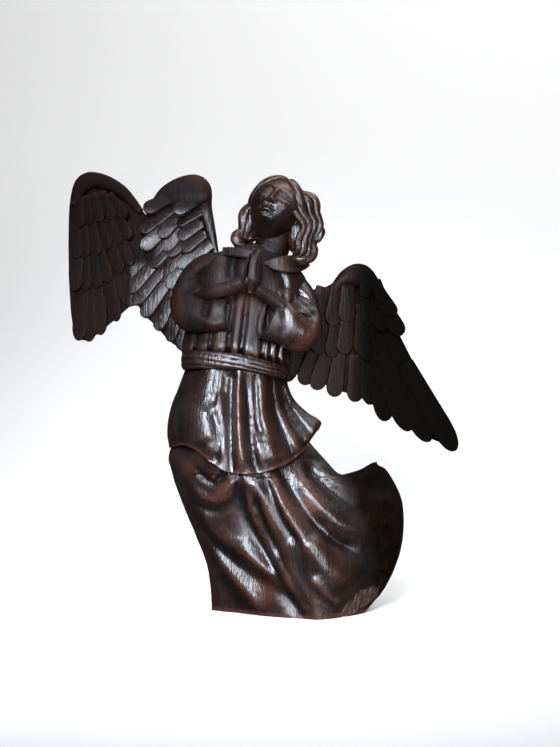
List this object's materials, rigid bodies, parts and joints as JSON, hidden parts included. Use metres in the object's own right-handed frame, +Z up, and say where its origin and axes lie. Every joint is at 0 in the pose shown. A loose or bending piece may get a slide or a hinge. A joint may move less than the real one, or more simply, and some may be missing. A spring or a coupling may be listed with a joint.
{
  "type": "angel statue",
  "caption": "Carved dark oak angel with praying hands, belted tunic, trailing robe and spread feathered wings, standing on its flat underside.",
  "frame": {"origin": "middle of the flat underside of the robe, on the floor", "axes": "+Z up, -Y towards the spectator whom the figure faces, +X to the spectator's right, the figure's own left"},
  "size_m": [0.572, 0.1791, 0.6327],
  "materials": {
    "figure_oak": "dark stained and waxed oak, semi-gloss",
    "right_wing_oak": "dark stained and waxed oak, semi-gloss",
    "left_wing_oak": "dark stained and waxed oak, semi-gloss"
  },
  "bodies": {
    "root": {"figure": "figure_oak", "right_wing": "right_wing_oak", "left_wing": "left_wing_oak"}
  },
  "joints": []
}
